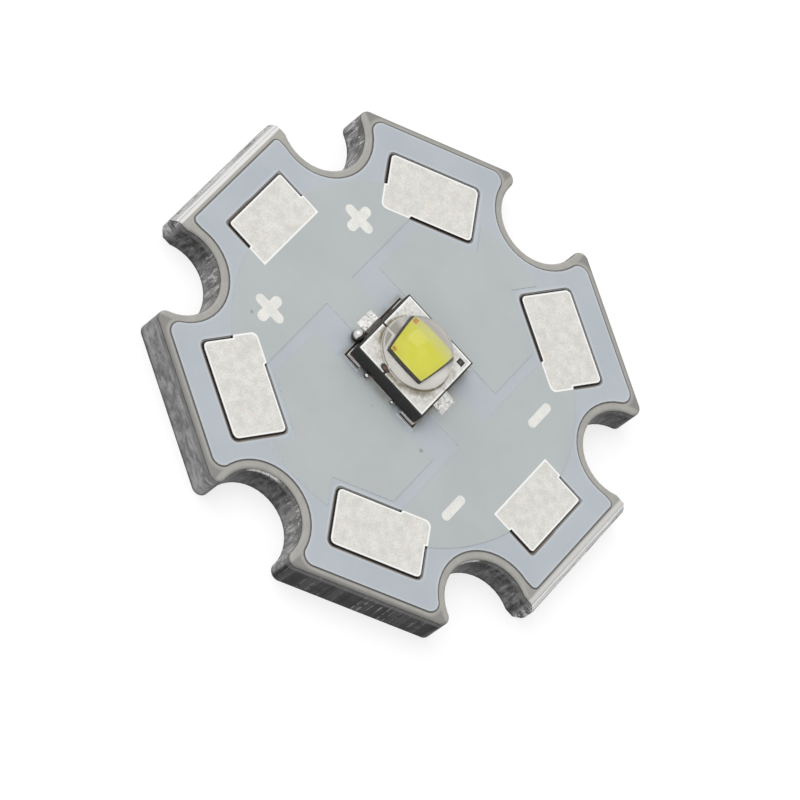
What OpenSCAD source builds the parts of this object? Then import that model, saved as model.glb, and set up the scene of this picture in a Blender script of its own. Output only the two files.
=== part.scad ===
// Star-board power LED: aluminium-core star board, six wire pads, one domed ceramic LED.
// Millimetres, +Z up. The origin is the centre of the board's bottom face.
// The anode (plus) arm points along +Y and the cathode (minus) arm along -Y.

/* [Star board] */
// distance across two opposite arms
across_flats = 19.4; // [19:0.1:21]
// diameter of the circle the screw notches are centred on
notch_circle = 19; // [18.5:0.1:20.5]
// radius of a screw notch
notch_radius = 1.75; // [1.5:0.05:1.9]
// radius of the rounded arm tips
tip_radius = 0.35; // [0.25:0.05:0.6]
// thickness of the aluminium plate
plate_thickness = 1.3; // [1:0.1:2]
// depth of the V-score at each snapped-off end
score_depth = 0.4; // [0.3:0.05:0.45]
// how far the V-score sets the end's top edge back
score_setback = 0.3; // [0.2:0.05:0.4]
// how much wider each end runs, per side, than the neck between the notches behind it
end_flare = 0.2; // [0.1:0.05:0.3]
// corner radius of the ends
end_corner = 0.1; // [0.05:0.01:0.2]

/* [Layers] */
// thickness of the insulating film on the plate
dielectric_thickness = 0.1; // [0.08:0.01:0.15]
// thickness of the copper
copper_thickness = 0.035; // [0.03:0.005:0.1]
// thickness of the solder mask
mask_thickness = 0.03; // [0.02:0.005:0.04]
// thickness of the tin on the open copper
tin_thickness = 0.03; // [0.02:0.005:0.05]

/* [Wire pads] */
// distance from an end arm's edge in to the middle of its wire pad
end_pad_inset = 2.49; // [2.4:0.01:2.6]
// length of an end arm's pad, across the arm
end_pad_length = 3.27; // [3:0.01:3.4]
// width of an end arm's pad, along the arm
end_pad_width = 1.86; // [1.6:0.01:2]
// distance from a side arm's edge in to the middle of its wire pad
side_pad_inset = 2.55; // [2.4:0.01:2.6]
// length of a side arm's pad, across the arm
side_pad_length = 3.75; // [3.4:0.01:3.85]
// width of a side arm's pad, along the arm
side_pad_width = 2.25; // [1.9:0.01:2.35]
// gap between a pad and the edge of its mask opening
pad_clearance = 0.12; // [0.08:0.01:0.16]
// corner radius of the mask opening on the side arms
opening_corner = 0.25; // [0.15:0.05:0.35]

/* [Copper pours] */
// distance from a screw notch in to the circle the pours end at
pour_margin = 0.55; // [0.5:0.05:0.75]
// least length of a wire pad that lies on its pour
pour_overlap = 0.3; // [0.2:0.05:0.5]
// distance from the centre line to the anode and cathode pours
pour_edge = 3.63; // [3.5:0.01:3.8]
// gap between the thermal pour and the other two
pour_gap = 0.5; // [0.3:0.05:0.6]
// gap between the thermal pour and the side pads
side_gap = 0.36; // [0.25:0.01:0.45]
// width of the neck that feeds the LED
neck_width = 1.55; // [1:0.05:1.6]
// distance from the centre line to the thermal pour beside the LED
thermal_inner = 2.15; // [2.1:0.05:2.4]

/* [Solder mask] */
// bare margin along the side arms
mask_margin = 0.3; // [0.2:0.05:0.4]
// bare margin around the screw notches
notch_margin = 0.35; // [0.25:0.05:0.4]
// bare margin behind the V-scored ends
end_margin = 0.25; // [0.1:0.05:0.3]
// corner radius of the mask on the side arms
mask_corner = 0.4; // [0.3:0.05:0.5]
// how much wider the mask's ends run, per side, than its own neck
mask_flare = 0.05; // [0.02:0.01:0.2]
// corner radius of the mask on the end arms
mask_end_corner = 0.2; // [0.1:0.05:0.3]

/* [Polarity marks] */
// sideways distance of a mark from the centre line
mark_x = 2.95; // [2.8:0.05:3]
// distance from an end arm's edge in to the middle of a mark
mark_inset = 4.78; // [4.7:0.02:4.9]
// length of a mark's strokes
mark_length = 1.36; // [1:0.02:1.4]
// stroke width of the plus marks
plus_width = 0.42; // [0.3:0.02:0.46]
// stroke width of the minus marks
minus_width = 0.36; // [0.3:0.02:0.46]

/* [LED package] */
// side of the square ceramic body
body_size = 3.45; // [3.4:0.01:3.5]
// thickness of the ceramic body
body_height = 0.6; // [0.5:0.02:0.8]
// radius of the dome at its base
lens_radius = 1.45; // [1.35:0.01:1.5]
// height of the dome above the top metal
lens_height = 1.38; // [1.2:0.02:1.45]
// side of the square chip
chip_size = 1.45; // [1:0.05:1.5]
// thickness of the chip
chip_height = 0.12; // [0.08:0.01:0.2]
// how far the chip and its dome sit off the package's middle, towards the anode
chip_y = 0.045; // [0:0.005:0.06]
// ledge of the chip that the phosphor plate leaves bare
phosphor_inset = 0.01; // [0.01:0.01:0.06]
// thickness of the phosphor plate
phosphor_height = 0.06; // [0.04:0.01:0.1]
// side of a square bond pad in the phosphor's corners
bond_pad = 0.15; // [0.1:0.01:0.2]
// dark edge left bare round the top metal
edge_line = 0.06; // [0.03:0.01:0.1]
// width of the gap that splits the top metal
metal_gap = 0.1; // [0.06:0.01:0.12]
// side of the black polarity square
polarity_size = 0.27; // [0.15:0.01:0.3]
// distance of the polarity square's middle from the body's right side
polarity_right = 0.41; // [0.35:0.005:0.5]
// distance of the polarity square's middle from the body's cathode side
polarity_front = 0.355; // [0.3:0.005:0.4]
// gap between the chip and the anode's top metal
chip_margin = 0.13; // [0.12:0.01:0.2]
// how far left of the centre the top metal's gap meets the anode side
gap_x = 0.1; // [0.05:0.01:0.3]
// how far up from the centre that gap meets the left side
gap_y = 0.375; // [0.2:0.005:0.5]
// distance of a bond pad from the phosphor's edges
bond_inset = 0.04; // [0.02:0.01:0.1]
// radius of the vias through the body
via_radius = 0.1; // [0.06:0.01:0.15]
// sideways distance of a via from the centre
via_x = 0.9; // [0.8:0.05:1]

/* [LED solder joints] */
// thickness of the solder under the terminals
solder_thickness = 0.1; // [0.06:0.01:0.15]
// how far the terminals end short of the package's left and right sides
terminal_inset = 0.075; // [0.05:0.005:0.15]
// width of the anode and cathode terminals
strip_width = 0.5; // [0.4:0.02:0.54]
// how far those terminals lie in from the package's side
strip_edge = 0.055; // [0.04:0.005:0.07]
// width of the thermal terminal
thermal_width = 1.3; // [1:0.05:1.4]
// width of the land tab that shows beside the package
tab_width = 0.9; // [0.6:0.05:1.1]
// how far the land tab ends from the centre
tab_end = 2.3; // [2.1:0.05:2.5]
// how far the strip terminals' mask openings run past the package, left and right
strip_ledge = 0.12; // [0.1:0.01:0.15]
// how far the thermal pad's mask opening runs past the package, left and right
thermal_ledge = 0.02; // [0.01:0.005:0.03]
// bare copper left outside the strip terminals' solder
solder_gap = 0.08; // [0.05:0.01:0.09]
// mask opening past a terminal on the side of its neighbour
land_margin = 0.06; // [0.04:0.01:0.08]
// mask opening past a strip terminal on the outside
land_toe = 0.16; // [0.13:0.01:0.2]
// copper under the mask past a land
land_copper = 0.05; // [0.03:0.01:0.06]
// thickness of the terminals
terminal_thickness = 0.03; // [0.02:0.005:0.05]
// thickness of the top metal
metal_thickness = 0.02; // [0.015:0.005:0.04]

/* [Solder beads] */
// radius of the large bead by the anode side
bead_1_radius = 0.25; // [0.2:0.01:0.28]
// how far left of the centre the large bead lies
bead_1_x = 0.95; // [0.9:0.05:1.4]
// radius of the middle bead by the left side
bead_2_radius = 0.1; // [0.08:0.01:0.12]
// how far up from the centre the middle bead lies
bead_2_y = 0.72; // [0.6:0.02:0.74]
// radius of the small bead by the left side
bead_3_radius = 0.075; // [0.06:0.005:0.1]
// how far down from the centre the small bead lies
bead_3_y = 0.62; // [0.5:0.02:0.66]
// how far a bead is flattened against the package
bead_press = 0.006; // [0.003:0.001:0.01]

/* [Hidden] */
$fn = 96;
// how far a tip's arc runs past its tangent points, so that the solids merge cleanly
seam = 0.004;
// how far a cutter runs past what it cuts
overcut = 0.2;
apothem = across_flats/2;
notch_at = notch_circle/2;
pour_radius = notch_at - notch_radius - pour_margin;
mark_y = apothem - mark_inset;
score_edge = apothem - score_setback;
z_film = plate_thickness;
z_copper = z_film + dielectric_thickness;
z_land = z_copper + copper_thickness;
z_low = z_copper + mask_thickness;
z_mask = z_land + mask_thickness;
z_terminal = z_land + solder_thickness;
z_body = z_terminal + terminal_thickness;
z_top = z_body + body_height;
z_chip = z_top + metal_thickness;
z_phosphor = z_chip + chip_height;
half_body = body_size/2;
half_chip = chip_size/2;
half_phosphor = half_chip - phosphor_inset;
terminal_x = half_body - terminal_inset;
strip_out = half_body - strip_edge;
strip_in = strip_out - strip_width;
land_x = half_body + strip_ledge;
thermal_x = half_body + thermal_ledge;
land_in = strip_in - land_margin;
land_out = strip_out + land_toe;
thermal_land = thermal_width/2 + land_margin;
lens_sphere = (lens_radius*lens_radius + lens_height*lens_height)/(2*lens_height);
arms = [90, 30, -30, -90, -150, 150];
side_arms = [30, -30, -150, 150];
// each solder bead: x, y, radius and the level it rests on
beads = [
  [-bead_1_x, half_body + bead_1_radius - bead_press, bead_1_radius, z_low],
  [-half_body - bead_2_radius + bead_press, bead_2_y, bead_2_radius, z_mask],
  [-half_body - bead_3_radius + bead_press, -bead_3_y, bead_3_radius, z_mask]];

// Star with flats at a, ends clipped at e, notches of radius rn and tips rounded to rc.
// The end arms run fl wider than the narrowest place between two notches, with corners rounded to re.
module star_2d(a, e, rn, rc, fl, re) {
  nx = notch_at*cos(30);
  ny = notch_at*sin(30);
  cx = a - rc;
  cy = ny - sqrt((rn + rc)*(rn + rc) - (cx - nx)*(cx - nx));
  sharp = ny - sqrt(max(0, rn*rn - (a - nx)*(a - nx)));
  tx = cx + rc*(nx - cx)/(rn + rc);
  ty = cy + rc*(ny - cy)/(rn + rc);
  end_x = ny - rn + fl;
  difference() {
    union() {
      difference() {
        intersection() {
          circle(r = a/cos(30), $fn = 6);
          circle(r = notch_at + 0.8*rn);
          square([4*a, 2*e], center = true);
        }
        for (k = [0:5]) rotate(60*k) translate([notch_at, 0]) circle(r = rn);
        for (t = side_arms) for (s = [-1, 1]) rotate(t)
          polygon([[cx, s*cy], [a, s*cy], [a + overcut, s*(sharp + 2*overcut)], [tx, s*ty]]);
      }
      for (t = side_arms) for (s = [-1, 1]) rotate(t) translate([cx, s*cy]) circle(r = rc + seam);
    }
    for (sx = [-1, 1]) for (sy = [-1, 1]) {
      translate([sx*(end_x + rn/2), sy*(nx + rn)]) square([rn, 2*rn], center = true);
      translate([sx*end_x, sy*e]) difference() {
        square(2*re, center = true);
        translate([-sx*re, -sy*re]) circle(r = re + seam);
      }
    }
  }
}

module board_2d() {
  star_2d(apothem, apothem, notch_radius, tip_radius, end_flare, end_corner);
}

module mask_2d() {
  star_2d(apothem - mask_margin, score_edge - end_margin, notch_radius + notch_margin, mask_corner,
    mask_flare, mask_end_corner);
}

// Wedges that the V-scores take off the ends, above and below.
module score_cut() {
  s = score_setback/score_depth;
  for (m = [0, 1]) mirror([0, m, 0]) for (up = [0, 1])
    translate([0, 0, up*z_copper]) mirror([0, 0, 1 - up]) translate([-apothem, 0, 0])
      rotate([90, 0, 90]) linear_extrude(across_flats)
        polygon([[score_edge - overcut*s, overcut], [apothem + overcut, -score_depth - overcut/s],
          [apothem + overcut, overcut]]);
}

function end_arm(t) = abs(t) == 90;
function pad_at(t) = apothem - (end_arm(t) ? end_pad_inset : side_pad_inset);
function pad_width(t) = end_arm(t) ? end_pad_width : side_pad_width;
function pad_length(t) = end_arm(t) ? end_pad_length : side_pad_length;

// Copper of the wire pad on the arm at angle t, grown by g. It always runs in as far as the pour.
module pad_2d(t, g) {
  inner = min(pad_at(t) - pad_width(t)/2, pour_radius - pour_overlap);
  outer = pad_at(t) + pad_width(t)/2;
  rotate(t) translate([inner - g, -pad_length(t)/2 - g])
    square([outer - inner + 2*g, pad_length(t) + 2*g]);
}

// Mask opening over the wire pad on the arm at angle t, with round corners on the side arms.
module opening_2d(t) {
  w = pad_width(t) + 2*pad_clearance;
  l = pad_length(t) + 2*pad_clearance;
  r = opening_corner;
  rotate(t) translate([pad_at(t), 0])
    if (end_arm(t)) square([w, l], center = true);
    else {
      square([w - 2*r, l], center = true);
      square([w, l - 2*r], center = true);
      for (i = [-1, 1]) for (j = [-1, 1]) translate([i*(w/2 - r), j*(l/2 - r)]) circle(r = r);
    }
}

// Copper of the anode half, grown by g: pour, three pads, neck and LED land.
module anode_2d(g) {
  intersection() {
    circle(r = pour_radius + g);
    translate([-2*pour_radius, pour_edge - g]) square([4*pour_radius, 2*pour_radius]);
  }
  for (t = arms) if (t > 0) pad_2d(t, g);
  translate([-neck_width/2 - g, land_in]) square([neck_width + 2*g, pour_edge + pour_gap - land_in]);
  translate([-land_x - land_copper - g, land_in - land_copper - g])
    square([2*(land_x + land_copper + g), land_out - land_in + 2*(land_copper + g)]);
}

module cathode_2d(g) {
  mirror([0, 1]) anode_2d(g);
}

// Thermal copper, grown by g: two side pours joined by a strip under the LED.
module thermal_2d(g) {
  difference() {
    intersection() {
      circle(r = pour_radius + g);
      square([4*pour_radius, 2*(pour_edge - pour_gap + g)], center = true);
    }
    for (t = side_arms) pad_2d(t, side_gap - g);
    for (m = [0, 1]) mirror([0, m])
      translate([-thermal_inner + g, thermal_land + land_copper + g])
        square([2*(thermal_inner - g), pour_radius]);
  }
}

module copper_2d(g) {
  anode_2d(g);
  cathode_2d(g);
  thermal_2d(g);
}

// LED lands on the anode side: under the terminal and out to the tab.
module anode_land_2d() {
  translate([-land_x, land_in]) square([2*land_x, land_out - land_in]);
  translate([-tab_width/2, land_in]) square([tab_width, tab_end - land_in]);
}

module thermal_land_2d() {
  square([2*thermal_x, 2*thermal_land], center = true);
}

// One stroke of a polarity mark with round ends.
module stroke_2d(w) {
  square([mark_length - w, w], center = true);
  for (s = [-1, 1]) translate([s*(mark_length - w)/2, 0]) circle(r = w/2);
}

module plus_2d(sx) {
  translate([sx*mark_x, mark_y]) {
    stroke_2d(plus_width);
    rotate(90) stroke_2d(plus_width);
  }
}

module minus_2d(sx) {
  translate([sx*mark_x, -mark_y]) stroke_2d(minus_width);
}

module base_plate() {
  color([0.62, 0.62, 0.63]) difference() {
    linear_extrude(plate_thickness) board_2d();
    score_cut();
  }
}

module dielectric_layer() {
  color([0.66, 0.65, 0.62]) difference() {
    translate([0, 0, z_film]) linear_extrude(dielectric_thickness) board_2d();
    score_cut();
  }
}

module copper_anode() {
  color([0.80, 0.50, 0.33]) translate([0, 0, z_copper]) linear_extrude(copper_thickness) anode_2d(0);
}

module copper_cathode() {
  color([0.80, 0.50, 0.33]) translate([0, 0, z_copper]) linear_extrude(copper_thickness) cathode_2d(0);
}

module copper_thermal() {
  color([0.80, 0.50, 0.33]) translate([0, 0, z_copper]) linear_extrude(copper_thickness) thermal_2d(0);
}

module solder_mask() {
  color([0.74, 0.77, 0.80]) difference() {
    translate([0, 0, z_copper]) union() {
      linear_extrude(mask_thickness) mask_2d();
      linear_extrude(copper_thickness + mask_thickness) intersection() {
        mask_2d();
        copper_2d(mask_thickness);
      }
    }
    translate([0, 0, z_film]) linear_extrude(dielectric_thickness + copper_thickness) copper_2d(0);
    translate([0, 0, z_film]) linear_extrude(z_mask) union() {
      for (t = arms) opening_2d(t);
      for (s = [-1, 1]) {
        plus_2d(s);
        minus_2d(s);
      }
      anode_land_2d();
      mirror([0, 1]) anode_land_2d();
      thermal_land_2d();
    }
  }
}

module tin_pad(k) {
  t = arms[k - 1];
  color([0.86, 0.85, 0.82]) translate([0, 0, z_land]) linear_extrude(tin_thickness) intersection() {
    opening_2d(t);
    if (t > 0) anode_2d(0);
    else cathode_2d(0);
  }
}

module plus_mark(sx) {
  color([0.86, 0.85, 0.82]) translate([0, 0, z_land]) linear_extrude(tin_thickness) plus_2d(sx);
}

module minus_mark(sx) {
  color([0.86, 0.85, 0.82]) translate([0, 0, z_land]) linear_extrude(tin_thickness) minus_2d(sx);
}

// Solder of a strip terminal: a slab under it and a sloped foot on the land tab.
module strip_solder() {
  slab_x = land_x - solder_gap;
  slab_out = land_out - solder_gap;
  translate([-slab_x, land_in, z_land]) cube([2*slab_x, slab_out - land_in, solder_thickness]);
  translate([-tab_width/2, 0, 0]) rotate([90, 0, 90]) linear_extrude(tab_width)
    polygon([[strip_in, z_land], [tab_end, z_land], [tab_end, z_mask],
      [slab_out, z_terminal], [strip_in, z_terminal]]);
}

module solder_anode() {
  color([0.78, 0.78, 0.77]) strip_solder();
}

module solder_cathode() {
  color([0.78, 0.78, 0.77]) mirror([0, 1, 0]) strip_solder();
}

module solder_thermal() {
  color([0.78, 0.78, 0.77]) translate([-half_body, -thermal_land, z_land])
    cube([body_size, 2*thermal_land, solder_thickness]);
}

// Round bead, flat where it rests on the mask and where it meets the package or a joint.
module solder_bead(k) {
  b = beads[k - 1];
  step = land_copper + mask_thickness;
  neck = neck_width/2 + mask_thickness;
  color([0.80, 0.80, 0.79]) difference() {
    translate([b[0], b[1], b[3] + 0.9*b[2]]) rotate_extrude() intersection() {
      circle(r = b[2]);
      translate([0, -0.9*b[2]]) square(2*b[2]);
    }
    translate([-half_body, -half_body, z_land]) cube([body_size, body_size, z_top - z_land]);
    translate([-land_x - step, -land_out - step, 0]) cube([2*(land_x + step), 2*(land_out + step), z_mask]);
    translate([-land_x, land_in, 0]) cube([2*land_x, land_out - land_in, z_terminal]);
    translate([-neck, 0, 0]) cube([2*neck, pour_edge, z_mask]);
  }
}

module strip_terminal() {
  translate([-terminal_x, strip_in, z_terminal]) cube([2*terminal_x, strip_width, terminal_thickness]);
}

module terminal_anode() {
  color([0.85, 0.76, 0.50]) strip_terminal();
}

module terminal_cathode() {
  color([0.85, 0.76, 0.50]) mirror([0, 1, 0]) strip_terminal();
}

module terminal_thermal() {
  color([0.85, 0.76, 0.50]) translate([-terminal_x, -thermal_width/2, z_terminal])
    cube([2*terminal_x, thermal_width, terminal_thickness]);
}

module via_shape() {
  translate([-via_x, strip_out - strip_width/2, z_body]) cylinder(r = via_radius, h = body_height);
}

module led_body() {
  color([0.16, 0.16, 0.16]) difference() {
    translate([-half_body, -half_body, z_body]) cube([body_size, body_size, body_height]);
    via_shape();
    rotate(180) via_shape();
  }
}

module via_anode() {
  color([0.80, 0.70, 0.45]) via_shape();
}

module via_cathode() {
  color([0.80, 0.70, 0.45]) rotate(180) via_shape();
}

// Corner area of the top metal that belongs to the anode, grown by g.
module anode_metal_2d(g) {
  e = half_body - edge_line;
  c = half_chip + chip_y + chip_margin;
  translate([-e, c - g]) square([e - gap_x - metal_gap/2 + g, e - c + g]);
  translate([-e, gap_y + metal_gap/2 - g]) square([e - c + g, e - gap_y - metal_gap/2 + g]);
}

module polarity_2d() {
  translate([half_body - polarity_right, -half_body + polarity_front]) square(polarity_size, center = true);
}

module top_metal_anode() {
  color([0.84, 0.84, 0.82]) translate([0, 0, z_top]) linear_extrude(metal_thickness) anode_metal_2d(0);
}

module cathode_metal_2d() {
  difference() {
    square(2*(half_body - edge_line), center = true);
    intersection() {
      anode_metal_2d(metal_gap);
      translate([-half_body, 0]) square([body_size, half_body]);
    }
    polarity_2d();
  }
}

module top_metal_cathode() {
  color([0.84, 0.84, 0.82]) translate([0, 0, z_top]) linear_extrude(metal_thickness) cathode_metal_2d();
}

module polarity_mark() {
  color([0.04, 0.04, 0.04]) translate([0, 0, z_top]) linear_extrude(metal_thickness) polarity_2d();
}

module chip_shape() {
  translate([-half_chip, chip_y - half_chip, z_chip]) cube([chip_size, chip_size, chip_height]);
}

module led_chip() {
  color([0.10, 0.10, 0.09]) chip_shape();
}

module phosphor_2d() {
  translate([0, chip_y]) square(2*half_phosphor, center = true);
}

module bond_2d(sx) {
  b = half_phosphor - bond_inset - bond_pad/2;
  translate([sx*b, chip_y + b]) square(bond_pad, center = true);
}

module phosphor_plate() {
  color([0.84, 0.84, 0.29]) translate([0, 0, z_phosphor]) linear_extrude(phosphor_height) difference() {
    phosphor_2d();
    bond_2d(-1);
    bond_2d(1);
  }
}

module bond_pad_left() {
  color([0.80, 0.62, 0.15]) translate([0, 0, z_phosphor]) linear_extrude(phosphor_height) bond_2d(-1);
}

module bond_pad_right() {
  color([0.80, 0.62, 0.15]) translate([0, 0, z_phosphor]) linear_extrude(phosphor_height) bond_2d(1);
}

// Silicone dome moulded over the chip and into the gap of the top metal.
module led_lens() {
  color([0.92, 0.93, 0.90, 0.35]) difference() {
    union() {
      translate([0, chip_y, z_chip]) rotate_extrude() intersection() {
        translate([0, lens_height - lens_sphere]) circle(r = lens_sphere);
        square([2*lens_radius, 2*lens_height]);
      }
      translate([0, 0, z_top]) linear_extrude(metal_thickness) difference() {
        translate([0, chip_y]) circle(r = lens_radius - 5*seam);
        anode_metal_2d(0);
        cathode_metal_2d();
        polarity_2d();
      }
    }
    chip_shape();
    translate([0, 0, z_phosphor]) linear_extrude(phosphor_height) phosphor_2d();
  }
}

base_plate();
dielectric_layer();
copper_anode();
copper_cathode();
copper_thermal();
solder_mask();
for (k = [1:6]) tin_pad(k);
plus_mark(-1);  // plus_mark_left
plus_mark(1);  // plus_mark_right
minus_mark(-1);  // minus_mark_left
minus_mark(1);  // minus_mark_right
solder_anode();
solder_thermal();
solder_cathode();
for (k = [1:3]) solder_bead(k);
terminal_anode();
terminal_thermal();
terminal_cathode();
led_body();
via_anode();
via_cathode();
top_metal_anode();
top_metal_cathode();
polarity_mark();
led_chip();
phosphor_plate();
bond_pad_left();
bond_pad_right();
led_lens();
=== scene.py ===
import math

import bpy
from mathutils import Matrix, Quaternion, Vector


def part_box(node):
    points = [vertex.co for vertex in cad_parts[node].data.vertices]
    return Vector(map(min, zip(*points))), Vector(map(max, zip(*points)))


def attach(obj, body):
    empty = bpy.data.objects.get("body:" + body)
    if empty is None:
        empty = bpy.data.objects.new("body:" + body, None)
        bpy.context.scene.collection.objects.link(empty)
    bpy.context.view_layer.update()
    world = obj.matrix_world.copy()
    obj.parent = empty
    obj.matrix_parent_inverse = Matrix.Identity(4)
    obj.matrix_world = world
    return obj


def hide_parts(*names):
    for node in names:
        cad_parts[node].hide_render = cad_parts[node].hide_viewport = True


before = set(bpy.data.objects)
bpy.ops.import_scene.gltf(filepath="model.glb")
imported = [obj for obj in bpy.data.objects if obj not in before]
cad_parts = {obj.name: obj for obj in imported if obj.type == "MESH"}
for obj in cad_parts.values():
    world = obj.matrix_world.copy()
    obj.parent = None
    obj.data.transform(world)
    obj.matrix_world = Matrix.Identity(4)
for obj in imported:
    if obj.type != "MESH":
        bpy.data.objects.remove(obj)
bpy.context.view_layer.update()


# Camera: a long lens looks down on the board from the left of the minus arm.
# It is rolled so that the plus arm points to the upper left of the picture.
mm = 0.001
aim = Vector((-1.39, -0.79, 1.47)) * mm
stand_off = 222.25 * mm
seen_from, height_angle, tilt = (math.radians(a) for a in (172.65, 51.32, 53.14))
back = Vector((math.cos(seen_from) * math.cos(height_angle),
               math.sin(seen_from) * math.cos(height_angle), math.sin(height_angle)))
camera = bpy.data.objects.new("camera", bpy.data.cameras.new("camera"))
bpy.context.collection.objects.link(camera)
camera.location = aim + back * stand_off
camera.rotation_mode = "QUATERNION"
camera.rotation_quaternion = (-back).to_track_quat("-Z", "Y") @ Quaternion((0, 0, 1), tilt)
camera.data.lens = 275.2
camera.data.clip_start = 5 * mm
bpy.context.scene.camera = camera
bpy.context.scene.view_settings.view_transform = "Standard"


# Studio: a light tent, bright overhead and dimmer near the floor, with one broad lamp
# behind the plus arm. The white paper floor keeps the board's soft shadow.
class Wire:
    """A shader socket: sums on values add Math nodes, and node() adds any other node."""

    def __init__(self, tree, socket=None):
        self.tree, self.socket = tree, socket

    def node(self, kind, settings, sockets, out=0):
        """Adds a node, sets its settings, then its sockets, and gives one output or a list."""
        made = self.tree.nodes.new("ShaderNode" + kind)
        for name, value in settings.items():
            setattr(made, name, value)
        for name, value in sockets.items():
            if isinstance(value, Wire):
                self.tree.links.new(value.socket, made.inputs[name])
            else:
                made.inputs[name].default_value = value
        if isinstance(out, list):
            return [Wire(self.tree, made.outputs[name]) for name in out]
        return Wire(self.tree, made.outputs[out] if made.outputs else None)

    def math(self, operation, *values):
        return self.node("Math", {"operation": operation}, dict(enumerate(values)))

    def __add__(self, other):
        return self.math("ADD", self, other)

    def __radd__(self, other):
        return self.math("ADD", other, self)

    def __sub__(self, other):
        return self.math("SUBTRACT", self, other)

    def __rsub__(self, other):
        return self.math("SUBTRACT", other, self)

    def __mul__(self, other):
        return self.math("MULTIPLY", self, other)

    def __rmul__(self, other):
        return self.math("MULTIPLY", other, self)

    def __truediv__(self, other):
        return self.math("DIVIDE", self, other)

    def __rtruediv__(self, other):
        return self.math("DIVIDE", other, self)

    def __pow__(self, other):
        return self.math("POWER", self, other)

    def __rpow__(self, other):
        return self.math("POWER", other, self)

    def __gt__(self, other):
        return self.math("GREATER_THAN", self, other)

    def __lt__(self, other):
        return self.math("LESS_THAN", self, other)

    def __abs__(self):
        return self.math("ABSOLUTE", self)

    def rise(self, start, end):
        """0 below start and 1 above end, with a smooth slope between; it falls where end is the lower."""
        return self.node("MapRange", {"interpolation_type": "SMOOTHSTEP"},
                         {"Value": self, "From Min": start, "From Max": end})

    def within(self, start, full, last, end):
        """0 below start and above end, and 1 from full to last."""
        return self.rise(start, full) * self.rise(end, last)

    def blend(self, low, high):
        """The colour low where this value is 0, and high where it is 1."""
        return self.node("Mix", {"data_type": "RGBA"}, {0: self, 6: low, 7: high}, 2)


def larger(one, other):
    return one.math("MAXIMUM", one, other)


def shade(red, green, blue):
    """A colour as seen in a picture, 0 to 255, as Blender's linear colour."""
    return tuple(c / 12.92 if c <= 0.04045 else ((c + 0.055) / 1.055) ** 2.4
                 for c in (red / 255, green / 255, blue / 255)) + (1,)


def new_finish(name):
    """An empty material, and the wire its nodes start from."""
    finish = bpy.data.materials.new(name)
    finish.use_nodes = True
    finish.node_tree.nodes.clear()
    return finish, Wire(finish.node_tree)


def looked_at(wire):
    """1 where the eye, metal or glass sees the background, and 0 where it lights the board."""
    by_eye, by_metal, by_glass = wire.node("LightPath", {}, {}, [
        "Is Camera Ray", "Is Glossy Ray", "Is Transmission Ray"])
    return larger(by_eye, larger(by_metal, by_glass))


tent = bpy.data.worlds.new("light_tent")
tent.use_nodes = True
tent.node_tree.nodes.clear()
bpy.context.scene.world = tent
wire = Wire(tent.node_tree)
side, upward = wire.node("SeparateXYZ", {}, {0: wire.node("TexCoord", {}, {}, "Generated")}, ["Y", "Z"])
skirt, roof = (0.24, 0.24, 0.25, 1), (0.98, 0.98, 0.98, 1)
tent_light = (upward * 0.88 + side * 0.48).rise(-0.2, 0.85).blend(skirt, roof)
lit = wire.node("Background", {}, {"Color": tent_light, "Strength": 0.9})
white = wire.node("Background", {}, {"Color": (1, 1, 1, 1), "Strength": 1})
wire.node("OutputWorld", {}, {0: wire.node("MixShader", {}, {0: looked_at(wire), 1: lit, 2: white})})

lamp = bpy.data.objects.new("lamp", bpy.data.lights.new("lamp", "AREA"))
bpy.context.collection.objects.link(lamp)
lamp.data.size = 0.35
lamp.data.energy = 0.55
lamp.location = (0.06, 0.22, 0.38)
lamp.rotation_mode = "QUATERNION"
lamp.rotation_quaternion = (-lamp.location).to_track_quat("-Z", "Y")

reach, under = 1.5, -0.01 * mm
floor_mesh = bpy.data.meshes.new("floor")
floor_mesh.from_pydata([(-reach, -reach, under), (reach, -reach, under),
                        (reach, reach, under), (-reach, reach, under)], [], [(0, 1, 2, 3)])
floor = bpy.data.objects.new("floor", floor_mesh)
bpy.context.collection.objects.link(floor)
paper, wire = new_finish("white_paper")
fibre = wire.node("TexNoise", {}, {"Scale": 900.0, "Detail": 3.0})
paper_white = fibre.blend((0.80, 0.80, 0.80, 1), (0.84, 0.84, 0.84, 1))
plain = wire.node("BsdfDiffuse", {}, {"Color": paper_white})
glow = wire.node("Emission", {}, {"Color": (1, 1, 1, 1), "Strength": 0.72})
faint = wire.node("BsdfDiffuse", {}, {"Color": (0.36, 0.36, 0.36, 1)})
lifted = wire.node("AddShader", {}, {0: glow, 1: faint})
wire.node("OutputMaterial", {}, {0: wire.node("MixShader", {}, {0: looked_at(wire), 1: plain, 2: lifted})})
floor.data.materials.append(paper)


# Base plate: the star blank, 1.3 mm aluminium sheet. The notches and side arms are punched,
# which leaves a smooth band over a torn wall, and the end arms are V-scored and snapped off the strip.
def soften(name, width):
    """Rounds a CAD node's edges by a width in millimetres."""
    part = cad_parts[name]
    part.modifiers.new("weld", "WELD").merge_threshold = 0.0001 * mm
    round_off = part.modifiers.new("round_off", "BEVEL")
    round_off.width = width * mm
    round_off.segments = 2
    round_off.limit_method = "ANGLE"
    round_off.angle_limit = math.radians(35)
    round_off.harden_normals = False
    part.modifiers.new("even_shading", "WEIGHTED_NORMAL").keep_sharp = True


def dress(finish, *names):
    """Gives CAD nodes one finish in place of their plain colour."""
    for name in names:
        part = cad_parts[name]
        part.data.materials.clear()
        part.data.materials.append(finish)


def close_finish(wire, sockets):
    """Ends a finish with its one surface shader."""
    wire.node("OutputMaterial", {}, {0: wire.node("BsdfPrincipled", {}, sockets)})


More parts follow.
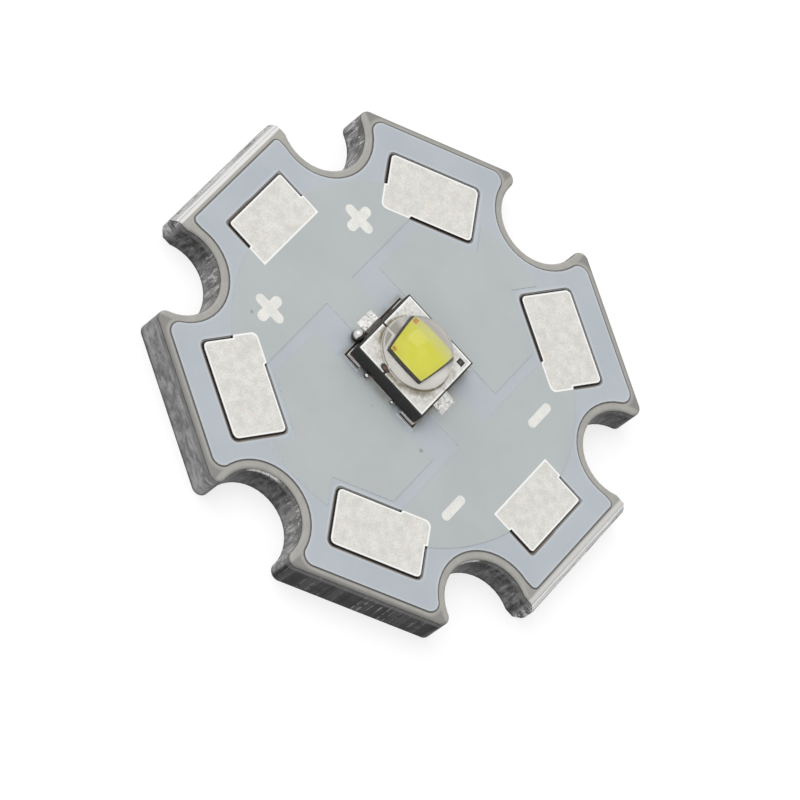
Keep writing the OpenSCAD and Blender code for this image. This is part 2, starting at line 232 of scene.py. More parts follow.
def on_part(wire):
    """The place on the part in millimetres."""
    return wire.node("VectorMath", {"operation": "SCALE"}, {
        0: wire.node("TexCoord", {}, {}, "Object"), "Scale": 1 / mm})


def axes(vector, letters="XYZ"):
    """A vector's x, y and z, or those of them that letters names."""
    return vector.node("SeparateXYZ", {}, {0: vector}, list(letters))


def noise(place, scale, detail, roughness=0.5, seed=None):
    """Noise from 0 to 1, which a seed sets apart from noise of the same scale."""
    sockets = {"Vector": place, "Scale": scale, "Detail": detail, "Roughness": roughness}
    if seed is None:
        return place.node("TexNoise", {}, sockets)
    return place.node("TexNoise", {"noise_dimensions": "4D"}, {**sockets, "W": seed})


def stretched(place, scales, detail, roughness=0.5):
    """Noise drawn out along the axes that have the smaller scales."""
    drawn = place.node("VectorMath", {"operation": "MULTIPLY"}, {0: place, 1: scales})
    return noise(drawn, 1.0, detail, roughness)


def apart(x, y, at_x=0.0, at_y=0.0):
    """How far a place lies from a point, or else from the part's middle."""
    return ((x - at_x) ** 2 + (y - at_y) ** 2) ** 0.5


def folded(x, y, turn):
    """A place seen from the nearest of six spokes: how far out along it and how far across.

    One of the spokes stands at the angle turn, in degrees.
    """
    out = apart(x, y)
    angle = x.math("ARCTAN2", y, x) - math.radians(turn)
    spoke = math.radians(60)
    aside = angle - spoke * x.math("ROUND", angle / spoke)
    return out * x.math("COSINE", aside), out * x.math("SINE", aside)


notch_circle, notch_radius, notch_turn = 9.5, 1.75, 0


def from_notch(x, y):
    """How far a place lies from the middle of the nearest notch."""
    out, across = folded(x, y, notch_turn)
    return apart(out, across, notch_circle)


plate_top, arm_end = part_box("base_plate")[1].z / mm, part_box("base_plate")[1].y / mm
front_arm = math.radians(-150)
torn_grain = 0.62
punched, wire = new_finish("punched_aluminium")
here = on_part(wire)
x, y, z = axes(here)
below_top = plate_top - z
normal_y, normal_z = axes(wire.node("NewGeometry", {}, {}, "True Normal"), "YZ")
# Painted light and shade: notch walls that face the plus side are painted lighter, and those facing minus
# darker.
painted_lit_side, painted_shaded_side = normal_y.rise(-0.1, 0.7), normal_y.rise(-0.3, -0.8)
in_notch = from_notch(x, y).rise(notch_radius + 0.20, notch_radius + 0.05)
on_front = (x * math.cos(front_arm) + y * math.sin(front_arm)).rise(arm_end - 0.25, arm_end - 0.10)
end_wall = abs(y).rise(arm_end - 0.32, arm_end - 0.28)
gouge = stretched(here, (4.6, 4.6, 1.7), 4.0, torn_grain)
slab = stretched(here, (2.4, 2.4, 0.06), 2.0, torn_grain)
drag = stretched(here, (2.0, 2.0, 5.0), 4.0, torn_grain)
spark = stretched(here, (7.0, 7.0, 1.5), 2.0, torn_grain)
blotch = noise(here, 3.4, 4.0, 0.6)
grain = noise(here, 22.0, 3.0, 0.7)
scratch = abs(slab - 0.5).rise(0.016, 0.004) * blotch.rise(0.40, 0.52) * on_front
marks = drag + (gouge - drag) * in_notch
marks = marks + (slab - marks) * on_front
tone = (marks * 0.55 + blotch * 0.25 + grain * 0.2).rise(0.39, 0.61)
# Lit and shaded copies of the notch wall's tones, chosen by the way the wall faces.
notch_dark = painted_lit_side.blend(shade(42, 41, 42), shade(80, 79, 79))
notch_light = painted_lit_side.blend(shade(104, 103, 103), shade(152, 151, 150))
# Painted shade: the front arm's wall, which faces away from the lamp, is painted near-black. Its scratches
# are real.
wall_dark = on_front.blend(in_notch.blend(shade(104, 103, 104), notch_dark), shade(22, 21, 22))
wall_light = on_front.blend(in_notch.blend(shade(158, 157, 158), notch_light), shade(66, 65, 66))
wall = tone.blend(wall_dark, wall_light)
wall = (scratch * 0.65).blend(wall, shade(150, 149, 150))
smooth_band = below_top.rise(0.26, 0.16)
wall = (smooth_band * 0.6).blend(wall, shade(112, 111, 111))
# Painted shade on the notch walls that face the minus side.
wall = (in_notch * painted_shaded_side * 0.5).blend(wall, shade(36, 35, 36))
# Painted shade in the torn hollows of the notch walls that face away from the plus side.
shaded_hollow = below_top.within(0.18, 0.28, 0.50, 0.75) * in_notch * (1 - painted_lit_side) * blotch.rise(0.46, 0.56)
wall = (shaded_hollow * 0.75).blend(wall, shade(32, 31, 32))
# Painted highlights: white glints on the notch walls, mostly on those facing the plus side, and a glint
# along the burr at two places.
glint = spark.rise(0.56, 0.66) * grain.rise(0.38, 0.60) * in_notch * (0.1 + 0.65 * painted_lit_side)
left_burr_glint = apart(x, y, -8.0, 0.9).rise(0.8, 0.5)
minus_burr_glint = apart(x, y, -3.9, -6.65).rise(0.55, 0.3)
burr_glint = below_top.rise(0.17, 0.12) * in_notch * larger(left_burr_glint, minus_burr_glint) * grain.rise(0.36, 0.5)
# flash holds these painted highlights; they are also made less metallic so that they stay white.
flash = larger(glint, burr_glint) * 0.9
wall = flash.blend(wall, shade(250, 249, 248))
# Painted shade along the wall's foot, where it meets the floor.
foot_line = z.rise(0.16, 0.04)
wall = (foot_line * 0.55).blend(wall, shade(48, 47, 47))
scored = abs(normal_z).rise(0.3, 0.45) * end_wall
score_line = stretched(here, (0.8, 9.0, 9.0), 2.0)
bright = score_line.rise(0.3, 0.7).blend(shade(166, 165, 164), shade(216, 216, 215))
bright = (below_top.rise(0.16, 0.03) * 0.8).blend(bright, shade(238, 238, 237))
chipped = below_top.rise(0.14, 0.24) * (blotch * 0.4 + grain * 0.6).rise(0.51, 0.58)
bright = (chipped * 0.85).blend(bright, shade(88, 87, 86))
broken = end_wall * (1 - scored)
torn_tone = (marks * 0.4 + blotch * 0.2 + grain * 0.4).rise(0.42, 0.58)
torn = torn_tone.blend(shade(64, 63, 64), shade(192, 191, 191))
wall = broken.blend(scored.blend(wall, bright), torn)
underside = normal_z.rise(-0.9, -0.97)
rolled = stretched(here, (0.35, 14.0, 1.0), 4.0)
sheet = rolled.rise(0.3, 0.7).blend(shade(172, 173, 175), shade(196, 197, 199))
depth = (marks - scratch * 0.4) * (1 - end_wall) + (gouge + grain) * 0.5 * broken
depth = depth * (1 - underside) + grain * 0.15
rough = wire.node("Bump", {}, {"Strength": 0.7, "Distance": 0.06 * mm, "Height": depth})
close_finish(wire, {
    "Base Color": underside.blend(wall, sheet), "Metallic": 0.75 - 0.65 * flash,
    "Roughness": 0.48 - 0.16 * underside + 0.15 * (grain - 0.5) - 0.1 * scored, "Normal": rough})
dress(punched, "base_plate")
soften("base_plate", 0.05)


# Insulating film: filled resin, 0.1 mm, laminated over the whole plate and punched with it,
# so that its edge is rolled down over the plate's. It shows as a stone-grey margin round the mask.
def outline(name):
    """The edge of a CAD node's top face, as points in order round it with the face on the left."""
    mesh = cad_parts[name].data
    spots = [tuple(round(c, 7) for c in corner.co) for corner in mesh.vertices]
    top = max(spot[2] for spot in spots)
    sides = set()
    for face in mesh.polygons:
        corners = [spots[corner] for corner in face.vertices]
        if min(corner[2] for corner in corners) > top - 0.001 * mm:
            sides |= set(zip(corners, corners[1:] + corners[:1]))
    following = {start: end for start, end in sides if (end, start) not in sides}
    ring = [min(following)]
    while following[ring[-1]] != ring[0]:
        ring.append(following[ring[-1]])
    return [Vector(spot) for spot in ring]


# A pair holds a size on the four punched arms, then on the two snapped ones.
pad_middle, pad_half_out, pad_half_across = (7.15, 7.21), (1.125, 0.93), (1.875, 1.635)
pad_corner, opening_corner = (0.2, 0.1), (0.3, 0.15)
mask_arm, mask_tip, mask_tip_across = (arm_end - 0.30, arm_end - 0.55), (0.4, 0.2), (2.372, 2.5)
mask_notch, snapped_side, snapped_side_from = notch_radius + 0.35, 2.7, 8.23
pad_gap, pour_inner, pour_radius, arm_turn = 0.12, 3.63, 7.2, 30


def smaller(one, other):
    return one.math("MINIMUM", one, other)


def on_end_arm(x, y):
    """1 on the two snapped arms, which lie along y, and 0 on the four punched ones."""
    return abs(y) > abs(x) * math.tan(math.radians(60))


def by_arm(end_arm, sizes):
    """The one of a pair of sizes that holds on this arm."""
    punched_size, snapped_size = sizes
    return punched_size + (snapped_size - punched_size) * end_arm


def round_pads(x, y):
    """How far inside the nearest mask opening and its copper a place lies, and 1 on the pad's -x side."""
    end_arm = on_end_arm(x, y)
    out, across = folded(x, y, arm_turn)
    along = out - by_arm(end_arm, pad_middle)
    half_out, half_across = by_arm(end_arm, pad_half_out), by_arm(end_arm, pad_half_across)

    def inside(gap, corner):
        """How far inside a pad with round corners that is larger all round by a gap."""
        past_out = abs(along) - half_out - gap + corner
        past_across = abs(across) - half_across - gap + corner
        beyond_corner = apart(larger(past_out, 0.0), larger(past_across, 0.0))
        return corner - smaller(larger(past_out, past_across), 0.0) - beyond_corner

    from_middle = apart(x, y)
    in_pour = smaller(abs(y) - pour_inner, pour_radius - from_middle)
    in_copper = larger(inside(0.0, by_arm(end_arm, pad_corner)), in_pour)
    arm_along_x = (x * out + y * across) / (from_middle * from_middle)
    left_side = (x - pad_middle[0] * arm_along_x).rise(-0.1, -0.4)
    return inside(pad_gap, by_arm(end_arm, opening_corner)), in_copper, left_side


def round_mask(x, y):
    """How far a place lies past the mask's outer edge."""
    end_arm = on_end_arm(x, y)
    out, across = folded(x, y, arm_turn)
    past_arm = out - by_arm(end_arm, mask_arm)
    past_notch = mask_notch - from_notch(x, y)
    well_inside = -1.0
    has_side = end_arm * (out > snapped_side_from)
    past_side = well_inside + (abs(across) - snapped_side - well_inside) * has_side
    past_edge = larger(larger(past_arm, past_notch), past_side)
    tip = by_arm(end_arm, mask_tip)
    ahead, aside = past_arm + tip, abs(across) - by_arm(end_arm, mask_tip_across)
    lean = math.radians(18)
    at_tip = (aside > 0) * (math.cos(lean) * ahead + math.sin(lean) * aside * (1 - end_arm) > 0)
    return past_edge + (apart(ahead, aside) - tip - past_edge) * at_tip


edge = outline("dielectric_layer")
film_foot, film_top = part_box("dielectric_layer")[0].z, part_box("dielectric_layer")[1].z
film_roll, foot_inset = 0.12 * mm, 0.06 * mm
roll_steps, first_lean, score_slope = 8, 20, 0.75
score_edge = max(spot.y for spot in edge)
profile = [(foot_inset, film_foot)]
for step in range(roll_steps + 1):
    lean = math.radians(first_lean + (90 - first_lean) * step / roll_steps)
    profile.append((film_roll * (1 - math.cos(lean)), film_top - film_roll + film_roll * math.sin(lean)))
points, faces, count = [], [], len(edge)
for inset, height in profile:
    for i, spot in enumerate(edge):
        along = (edge[(i + 1) % count] - edge[i - 1]).normalized()
        inward, spot_y = Vector((-along.y, along.x)), spot.y
        if abs(spot_y) > score_edge - 0.001 * mm:
            inward = Vector((-math.copysign(1, spot.x), 0))
            spot_y = math.copysign(score_edge + score_slope * (film_top - height), spot_y)
        points.append((spot.x + inward.x * inset, spot_y + inward.y * inset, height))
for level in range(len(profile) - 1):
    start = level * count
    for i in range(count):
        beside = (i + 1) % count
        faces.append((start + i, start + beside, start + count + beside, start + count + i))
faces.append(tuple(range(len(points) - count, len(points))))
faces.append(tuple(range(count - 1, -1, -1)))
film_mesh = bpy.data.meshes.new("rolled_film")
film_mesh.from_pydata(points, [], faces)
film_mesh.polygons.foreach_set("use_smooth", [True] * len(faces))
film = bpy.data.objects.new("rolled_film", film_mesh)
bpy.context.collection.objects.link(film)
resin_finish, wire = new_finish("filled_resin")
here = on_part(wire)
x, y = axes(here, "XY")
normal_z = axes(wire.node("NewGeometry", {}, {}, "Normal"), "Z")[0]
end_arm, arm_out = on_end_arm(x, y), folded(x, y, arm_turn)[0]
in_opening, in_copper, left_side = round_pads(x, y)
past_mask = round_mask(x, y)
in_notch = from_notch(x, y).rise(mask_notch, mask_notch - 0.12)
mottle = noise(here, 2.2, 5.0, 0.6)
speck = noise(here, 26.0, 2.0)
resin = (mottle * 0.6 + speck * 0.4).rise(0.3, 0.7).blend(shade(165, 164, 158), shade(181, 178, 171))
# Painted shade: on the arms the margin darkens away from the mask, where the edge rolls down.
painted_shade_on_arms = past_mask.rise(0.10, 0.26) * (1 - in_notch) * (1 - end_arm)
resin = (painted_shade_on_arms * 0.75).blend(resin, shade(132, 130, 127))
# Painted shade along the mask's foot, in the crease between mask and film.
foot = past_mask.rise(0.09, 0.04) * (0.6 + 0.5 * mottle)
resin = foot.blend(resin, shade(84, 82, 79))
# Painted shade where the rolled edge turns down from the top.
rim = (1 - normal_z).rise(0.12, 0.7)
resin = (rim * (0.55 - 0.2 * in_notch)).blend(resin, shade(116, 115, 113))
snapped = larger(y.rise(arm_end - 0.40, arm_end - 0.34), y.rise(0.50 - arm_end, 0.38 - arm_end))
resin = (snapped * 0.8).blend(resin, shade(244, 243, 240))
# Painted shade: the narrow groove round each pad is painted near-black, lighter on the end arms' outer
# sides and towards the mask's edge.
outer_groove = end_arm * (arm_out > pad_middle[1] + pad_half_out[1] - 0.01)
groove = outer_groove.blend(shade(28, 22, 20), shade(78, 71, 66))
groove_edge = left_side.blend(shade(160, 160, 158), shade(138, 130, 118))
groove = (in_copper.rise(-0.06, -0.09) * 0.75).blend(groove, groove_edge)
resin = (in_opening > -0.15).blend(resin, shade(186, 192, 198))
resin = (in_opening > 0.0).blend(resin, groove)
pitted = wire.node("Bump", {}, {"Strength": 0.35, "Distance": 0.02 * mm, "Height": speck})
close_finish(wire, {
    "Base Color": resin, "Roughness": 0.5 + 0.15 * mottle, "Specular IOR Level": 0.35, "Normal": pitted})
film.data.materials.append(resin_finish)
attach(film, "root")
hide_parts("dielectric_layer")


# Copper: three pours etched from one 35 micron foil, for plus, minus and heat.
# Only its edges show, browned by flux, round the wire pads and round the LED's joints, whose -x ends are
# painted near-black as shade.
foil, wire = new_finish("etched_copper")
here = on_part(wire)
x, y = axes(here, "XY")
tarnish = noise(here, 6.0, 4.0)
browned = tarnish.rise(0.3, 0.7).blend(shade(38, 32, 28), shade(74, 60, 50))
minus_land = y.rise(-1.6, -1.75) * x.rise(-1.7, -1.5)
browned = (minus_land * 0.7).blend(browned, shade(178, 174, 168))
# Painted shade: near-black at the joints' -x ends, at the foot of the solder.
painted_shade_left_ends = x.rise(-1.72, -1.76)
browned = (painted_shade_left_ends * 0.8).blend(browned, shade(20, 17, 16))
close_finish(wire, {"Base Color": browned, "Metallic": 0.3, "Roughness": 0.55 + 0.2 * (tarnish - 0.5)})
dress(foil, "copper_anode", "copper_cathode", "copper_thermal")


# Solder mask: white ink, screened over film and foil and cured, 30 microns thick, open at the pads.
# It looks greener over copper and bluer over bare film. Where it steps up on the copper, the risers are
# painted white and glow faintly, a painted light that hides their shade.
mask_face = film_top / mm + 0.03
mask_ink, wire = new_finish("solder_mask_ink")
here = on_part(wire)
x, y, z = axes(here)
normal_x, normal_y, normal_z = axes(wire.node("NewGeometry", {}, {}, "True Normal"))
in_opening, in_copper, left_side = round_pads(x, y)
past_mask = round_mask(x, y)
cloud = noise(here, 0.45, 3.0, 0.55)
warm = noise(here, 0.32, 2.0, seed=7.3)
peel = noise(here, 9.0, 3.0, 0.55)
bare = cloud.rise(0.3, 0.7).blend(shade(183, 190, 197), shade(189, 196, 202))
covered = cloud.rise(0.3, 0.7).blend(shade(184, 190, 190), shade(189, 195, 195))
covered = (warm.rise(0.55, 0.75) * 0.6).blend(covered, shade(192, 192, 190))
over_copper = z.rise(mask_face + 0.005, mask_face + 0.03)
ink = over_copper.blend(bare, covered)
# Painted light: the steps' risers are painted white and given a faint glow, most where they face away from
# the lamp.
riser = (1 - normal_z).rise(0.03, 0.25) * z.rise(mask_face + 0.0002, mask_face + 0.0015)
at_lands = abs(x).rise(1.90, 1.87) * abs(y).rise(1.95, 1.90)
turned_away = (-0.8 * normal_y - 0.5 * normal_x).rise(-0.6, 0.4)
painted_step_light = riser * (1 - at_lands) * (0.45 + 0.55 * turned_away)
ink = painted_step_light.blend(ink, shade(244, 247, 248))
open_side = in_copper.rise(-0.06, -0.11)
# Painted highlight: a pale line along the mask's edges at the pad openings and round its outline.
painted_edge_highlight = larger(in_opening.rise(-0.13, -0.06) * open_side, past_mask.rise(-0.11, -0.04))
ink = (painted_edge_highlight * 0.35).blend(ink, shade(214, 218, 221))
shaded_lip = in_opening.rise(-0.045, -0.015) * open_side * left_side
ink = (shaded_lip * 0.75).blend(ink, shade(138, 130, 118))
# Painted shade: the mask's walls round the LED's lands are painted near-black.
painted_land_shade = (1 - normal_z).rise(0.3, 0.6) * at_lands
ink = (painted_land_shade * 0.9).blend(ink, shade(34, 30, 28))
# Flux residue and painted shade: the ink is darkened and browned near the LED's foot, also standing for its
# contact shadow.
flux_and_painted_shade = larger(abs(x), abs(y)).rise(2.15, 1.72) * noise(here, 1.7, 4.0, 0.6).rise(0.25, 0.7)
ink = (flux_and_painted_shade * 0.6).blend(ink, shade(126, 125, 116))
dots = wire.node("TexVoronoi", {"feature": "F1"}, {
    "Vector": here, "Scale": 0.62, "Randomness": 1.0}, "Distance")
dust = dots.rise(0.07, 0.035) * noise(here, 0.8, 1.0).rise(0.52, 0.6)
ink = (dust * 0.55).blend(ink, shade(120, 124, 122))
# Painted shade on the mask's cut edge along the arms; there the normal is kept, elsewhere it is mostly
# flattened.
on_arms = (x * x + y * y).rise(8.0 ** 2, 8.25 ** 2)
shaded_cut_edge = (1 - normal_z).rise(0.5, 0.9) * z.rise(mask_face - 0.002, mask_face - 0.008) * on_arms
ink = (shaded_cut_edge * 0.7).blend(ink, shade(96, 97, 98))
level = wire.node("Mix", {"data_type": "VECTOR"}, {
    0: 0.9 * (1 - shaded_cut_edge), 4: wire.node("NewGeometry", {}, {}, "Normal"), 5: (0, 0, 1)}, 1)
skin = wire.node("Bump", {}, {"Strength": 0.08, "Distance": 0.02 * mm, "Height": peel, "Normal": level})
# The emission is the painted glow on the steps.
close_finish(wire, {
    "Base Color": ink, "Roughness": 0.42 + 0.16 * (peel - 0.5), "Specular IOR Level": 0.4, "Normal": skin,
    "Emission Color": painted_step_light.blend((0, 0, 0, 1), (0.23, 0.24, 0.24, 1)), "Emission Strength": 1.0})
dress(mask_ink, "solder_mask")
soften("solder_mask", 0.012)


# Wire pads and polarity marks: tin levelled by hot air on the open copper.
# The face is finely mottled, cream and silver, with a painted highlight on its swelling rim.
tin, wire = new_finish("levelled_tin")
here = on_part(wire)
x, y = axes(here, "XY")
in_opening, in_copper = round_pads(x, y)[:2]
on_pad = in_opening > -0.2
patch = noise(here, 2.6, 6.0, 0.7)
blush = noise(here, 4.6, 4.0, seed=3.1)
crystal = noise(here, 15.0, 4.0, 0.75)
tin_colour = patch.rise(0.30, 0.70).blend(shade(214, 213, 207), shade(235, 234, 229))
tin_colour = (blush.rise(0.52, 0.70) * 0.5).blend(tin_colour, shade(230, 219, 205))
tin_colour = (crystal.rise(0.50, 0.66) * 0.7).blend(tin_colour, shade(190, 189, 182))
on_mark = in_opening < -0.5
tin_colour = (on_mark * 0.35).blend(tin_colour, shade(250, 250, 246))
# Painted highlight: the pad's rim is painted white and made less metallic.
painted_rim_highlight = smaller(in_opening, in_copper).rise(0.085, 0.045) * on_pad
tin_colour = painted_rim_highlight.blend(tin_colour, shade(255, 255, 253))
# Painted shade: the pads' square corners outside the copper's round ones take the groove's dark.
off_corner = (in_copper < 0.0) * on_pad
tin_colour = off_corner.blend(tin_colour, shade(40, 35, 33))
frost = wire.node("Bump", {}, {"Strength": 0.25, "Distance": 0.01 * mm, "Height": crystal})
close_finish(wire, {
    "Base Color": tin_colour, "Metallic": 0.25 - 0.25 * painted_rim_highlight, "Roughness": 0.46 + 0.2 * (crystal - 0.5),
    "Normal": frost})
dress(tin, *(f"tin_pad_{k}" for k in range(1, 7)),
      *(f"{sign}_mark_{side}" for sign in ("plus", "minus") for side in ("left", "right")))


# Solder joints: reflowed paste under the three terminals, with a foot on each land tab.
# Three beads of it were squeezed out and stuck beside the package.
reflow, wire = new_finish("reflowed_solder")
here = on_part(wire)
x, y = axes(here, "XY")
grit = noise(here, 7.0, 4.0, 0.6)
dull = noise(here, 3.0, 2.0)
paste = grit.rise(0.3, 0.7).blend(shade(196, 195, 192), shade(246, 245, 242))
wrinkle = abs(dull - 0.5).rise(0.03, 0.012) * grit.rise(0.42, 0.52)
paste = (wrinkle * 0.7).blend(paste, shade(74, 71, 68))
# Painted light: the joints' -x ends, in the body's shade, are painted white and made less metallic.
painted_light_left_end = x.rise(-1.70, -1.74)
paste = painted_light_left_end.blend(paste, shade(240, 236, 234))
toe = y.within(1.60, 1.66, 1.84, 1.90) * x.within(-1.0, -0.9, 1.1, 1.25)
toe_colour = dull.rise(0.35, 0.65).blend(shade(36, 31, 28), shade(86, 77, 69))
paste = (toe * 0.95).blend(paste, toe_colour)
lumpy = wire.node("Bump", {}, {"Strength": 0.5, "Distance": 0.04 * mm, "Height": grit})
close_finish(wire, {
    "Base Color": paste, "Metallic": 0.7 - 0.6 * larger(toe, painted_light_left_end), "Roughness": 0.25 + 0.2 * dull,
    "Normal": lumpy})
dress(reflow, "solder_anode", "solder_thermal", "solder_cathode")
soften("solder_anode", 0.02)
soften("solder_cathode", 0.02)
bead, wire = new_finish("solder_bead_skin")
bead_skin = noise(on_part(wire), 9.0, 2.0)
upward = axes(wire.node("NewGeometry", {}, {}, "Normal"), "Z")[0]
bead_colour = bead_skin.blend(shade(176, 174, 170), shade(226, 224, 220))
# Painted shade and reflection: the beads are painted dark where they turn from the top down to their sides.
bead_colour = (upward.rise(0.45, 0.05) * 0.9).blend(bead_colour, shade(36, 32, 29))
close_finish(wire, {"Base Color": bead_colour, "Metallic": 1.0, "Roughness": 0.08 + 0.1 * bead_skin})
dress(bead, "solder_bead_1", "solder_bead_2", "solder_bead_3")


# Terminals and vias: gold-flashed copper under the package and plated holes up through it.
# Only the terminals' ends show, as thin lines over the solder.
gilt, wire = new_finish("gold_flash")
wear = noise(on_part(wire), 8.0, 3.0)
gold = wear.rise(0.35, 0.65).blend(shade(150, 134, 100), shade(186, 168, 124))
close_finish(wire, {"Base Color": gold, "Metallic": 0.9, "Roughness": 0.3 + 0.15 * wear})
dress(gilt, "terminal_anode", "terminal_thermal", "terminal_cathode", "via_anode", "via_cathode")


# LED body: a square of near-black fired ceramic that carries the chip.
# Its rim shows as a thin black line round the top metal, and flux has browned its foot.
burn_x, burn_y = -1.46, 0.47


def off_burn(x, y, wide, tall):
    """0 in the middle of the burnt spot, and 1 on an oval round it of these half sizes."""
    return ((x - burn_x) / wide) ** 2 + ((y - burn_y) / tall) ** 2


body_foot, body_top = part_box("led_body")[0].z / mm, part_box("led_body")[1].z / mm
ceramic, wire = new_finish("fired_ceramic")
here = on_part(wire)
x, y, z = axes(here)
fired = noise(here, 11.0, 4.0, 0.6)
sawn = stretched(here, (3.0, 3.0, 16.0), 2.0)
body_colour = (fired * 0.6 + sawn * 0.4).rise(0.35, 0.65).blend(shade(24, 24, 23), shade(46, 46, 44))
on_top = z.rise(body_top - 0.025, body_top - 0.015)
split_end = y.rise(1.36, 1.42) * abs(x + 0.08).rise(0.14, 0.10)
# Painted light: under the dome, the ceramic in the split between the top metals is painted near-white,
# which hides its shade.
painted_light_under_dome = (x * x + y * y).rise(2.45, 2.25) * on_top * (1 - split_end)
body_colour = painted_light_under_dome.blend(body_colour, shade(252, 251, 247))
burnt = off_burn(x, y, 0.17, 0.23).rise(1.0, 0.7) * on_top
body_colour = (burnt * 0.95).blend(body_colour, shade(34, 27, 21))
flux = z.rise(body_foot + 0.155, body_foot + 0.035) * noise(here, 2.6, 2.0).rise(0.56, 0.66)
body_colour = (flux * 0.8).blend(body_colour, shade(108, 82, 62))
sanded = wire.node("Bump", {}, {"Strength": 0.3, "Distance": 0.01 * mm, "Height": fired})
close_finish(wire, {"Base Color": body_colour, "Roughness": 0.5 + 0.2 * (fired - 0.5), "Normal": sanded})
dress(ceramic, "led_body")


# Top metal: silver plated on the ceramic in two areas, plus and minus, with a printed black square.
# Brown flux has crept round the foot of the dome, and one spot on the left is burnt.
silver, wire = new_finish("silver_plate")
here = on_part(wire)
x, y = axes(here, "XY")
from_middle = apart(x, y)
bearing = x.math("ARCTAN2", y, x) * (180 / math.pi)
turned = bearing + 360 * (bearing < 0)
plated = noise(here, 6.5, 4.0, 0.65)
fine = noise(here, 24.0, 3.0)
creep = noise(here, 3.4, 4.0, 0.6)
plate = plated.rise(0.32, 0.68).blend(shade(206, 205, 201), shade(234, 233, 228))
plate = (fine.rise(0.5, 0.75) * 0.3).blend(plate, shade(184, 182, 176))
# Painted light: under the dome the plate is painted near-white, making up for the light the dome holds
# back, and greyer towards +x.
painted_dome_light = x.rise(0.2, 0.9).blend(shade(250, 247, 240), shade(206, 200, 194))
plate = from_middle.rise(1.44, 1.36).blend(plate, painted_dome_light)
shadow_ring = turned.within(70, 90, 215, 250) * abs(from_middle - 1.30).rise(0.05, 0.02)
plate = (shadow_ring * 0.85).blend(plate, shade(138, 131, 118))
plus_shade = turned.within(62, 80, 118, 138) * from_middle.rise(1.22, 1.12)
plate = (plus_shade * 0.75).blend(plate, shade(156, 147, 134))
# Painted highlight: a white line along the plate's outer edges.
painted_highlight_border = larger(abs(x), abs(y)).rise(1.575, 1.615)
plate = (painted_highlight_border * 0.8).blend(plate, shade(252, 252, 249))
crept = from_middle.within(1.40, 1.48, 1.60, 1.95) * creep.rise(0.48, 0.64)
plate = (crept * 0.5).blend(plate, shade(158, 142, 116))
low_arc = turned.within(185, 205, 285, 305) * from_middle.within(1.26, 1.34, 1.44, 1.50)
low_halo = turned.within(150, 165, 232, 250) * from_middle.within(1.42, 1.46, 1.52, 1.70)
plus_arc = turned.within(38, 55, 116, 132) * from_middle.within(1.36, 1.44, 1.52, 1.64)
stain = larger(low_arc * creep.rise(0.2, 0.5), larger(low_halo * 0.7, plus_arc) * creep.rise(0.25, 0.55))
plate = (stain * 0.9).blend(plate, shade(116, 104, 72))
burnt = (off_burn(x, y, 0.17, 0.23) + 0.6 * (creep - 0.5)).rise(1.0, 0.7)
scorched = off_burn(x, y, 0.07, 0.10).rise(1.0, 0.6)
plate = (burnt * 0.95).blend(plate, scorched.blend(shade(30, 24, 19), shade(112, 78, 42)))
satin = wire.node("Bump", {}, {"Strength": 0.2, "Distance": 0.01 * mm, "Height": fine})
close_finish(wire, {
    "Base Color": plate, "Metallic": 0.3 * from_middle.rise(1.40, 1.50) * (1 - stain),
    "Roughness": 0.38 + 0.2 * (plated - 0.5), "Normal": satin})
dress(silver, "top_metal_anode", "top_metal_cathode")
square_low, square_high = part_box("polarity_mark")
square = (square_low + square_high) / (2 * mm)
black_print, wire = new_finish("black_print")
here = on_part(wire)
x, y = axes(here, "XY")
patchy = noise(here, 16.0, 3.0)
black = patchy.rise(0.3, 0.7).blend(shade(16, 16, 16), shade(40, 40, 39))
rubbed = larger(abs(x - square.x), abs(y - square.y)).rise(0.07, 0.03)
black = (rubbed * 0.5).blend(black, shade(120, 119, 116))
close_finish(wire, {"Base Color": black, "Roughness": 0.5 + 0.2 * patchy})
dress(black_print, "polarity_mark")


# Chip: a dark square die under a yellow phosphor plate, soldered to the top metal.
# Two gold bond pads show in the phosphor's corners on the plus side.
die, wire = new_finish("dark_die")
diced = noise(on_part(wire), 14.0, 3.0)
die_colour = diced.rise(0.3, 0.7).blend(shade(18, 16, 14), shade(40, 36, 30))
close_finish(wire, {"Base Color": die_colour, "Roughness": 0.35 + 0.2 * diced})
dress(die, "led_chip")
phosphor, wire = new_finish("yellow_phosphor")
here = on_part(wire)
x = axes(here, "X")[0]
powder = noise(here, 18.0, 4.0, 0.7)
drift = noise(here, 1.8, 3.0)
yellow = drift.rise(0.3, 0.7).blend(shade(216, 214, 60), shade(223, 220, 80))
yellow = (powder.rise(0.5, 0.75) * 0.3).blend(yellow, shade(198, 193, 51))
# Painted reflection: a whitish veil over the +x side.
yellow = (x.rise(0.30, 0.70) * 0.6).blend(yellow, shade(214, 213, 160))
# Painted highlight: a bright yellow line along the -x edge.
yellow = (x.rise(-0.60, -0.68) * 0.8).blend(yellow, shade(230, 228, 100))
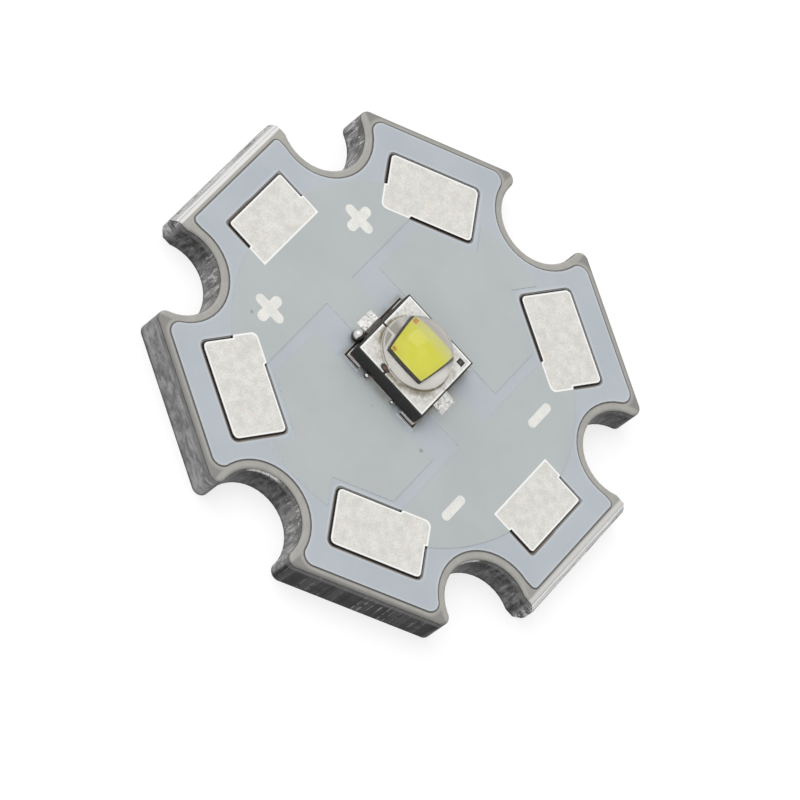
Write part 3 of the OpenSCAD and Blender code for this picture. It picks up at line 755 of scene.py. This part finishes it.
# Painted shade: the plate's sides are painted dark olive.
upper = axes(wire.node("NewGeometry", {}, {}, "True Normal"), "Z")[0].rise(0.4, 0.6)
yellow = upper.blend(shade(84, 80, 30), yellow)
close_finish(wire, {
    "Base Color": yellow, "Roughness": 0.7 + 0.2 * (powder - 0.5), "Specular IOR Level": 0.2})
dress(phosphor, "phosphor_plate")
bond_gold, wire = new_finish("bond_gold")
dimple = noise(on_part(wire), 20.0, 2.0)
bond_colour = dimple.rise(0.3, 0.7).blend(shade(178, 118, 34), shade(214, 160, 52))
close_finish(wire, {"Base Color": bond_colour, "Metallic": 0.6, "Roughness": 0.3 + 0.2 * dimple})
dress(bond_gold, "bond_pad_left", "bond_pad_right")


# Dome: clear silicone, moulded over the chip in one piece with the skin round its foot.
# It is turned here from the solid's own arc, finely enough that the chip is seen through it without facets.
low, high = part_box("led_lens")
dome_radius, dome_foot, dome_top = (high.x - low.x) / 2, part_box("led_chip")[0].z, high.z
axis_x, axis_y = (low.x + high.x) / 2, (low.y + high.y) / 2
ball = (dome_radius ** 2 + (dome_top - dome_foot) ** 2) / (2 * (dome_top - dome_foot))
middle = dome_top - ball
open_angle = math.acos((dome_foot - middle) / ball)
rings, spokes, sunk = 64, 160, 0.022 * mm
levels = [(ball * math.sin(open_angle * ring / rings), middle + ball * math.cos(open_angle * ring / rings))
          for ring in range(1, rings + 1)]
levels.append((dome_radius, dome_foot - sunk))
points, faces = [(axis_x, axis_y, dome_top)], []
for radius, height in levels:
    for spoke in range(spokes):
        turn = 2 * math.pi * spoke / spokes
        points.append((axis_x + radius * math.cos(turn), axis_y + radius * math.sin(turn), height))
for spoke in range(spokes):
    beside = (spoke + 1) % spokes
    faces.append((0, 1 + spoke, 1 + beside))
    for ring in range(rings):
        start = 1 + ring * spokes
        faces.append((start + spoke, start + spokes + spoke, start + spokes + beside, start + beside))
faces.append(tuple(range(len(points) - 1, len(points) - 1 - spokes, -1)))
dome_mesh = bpy.data.meshes.new("lens_dome")
dome_mesh.from_pydata(points, [], faces)
dome_mesh.polygons.foreach_set("use_smooth", [len(face) < 5 for face in faces])
dome = bpy.data.objects.new("lens_dome", dome_mesh)
bpy.context.collection.objects.link(dome)
silicone, wire = new_finish("clear_silicone")
haze = noise(on_part(wire), 3.0, 3.0)
close_finish(wire, {
    "Base Color": haze.blend((0.99, 0.99, 0.985, 1), (1, 1, 1, 1)), "Roughness": 0.02 + 0.03 * haze,
    "IOR": 1.45, "Transmission Weight": 1.0})
dome.data.materials.append(silicone)
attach(dome, "root")
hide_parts("led_lens")
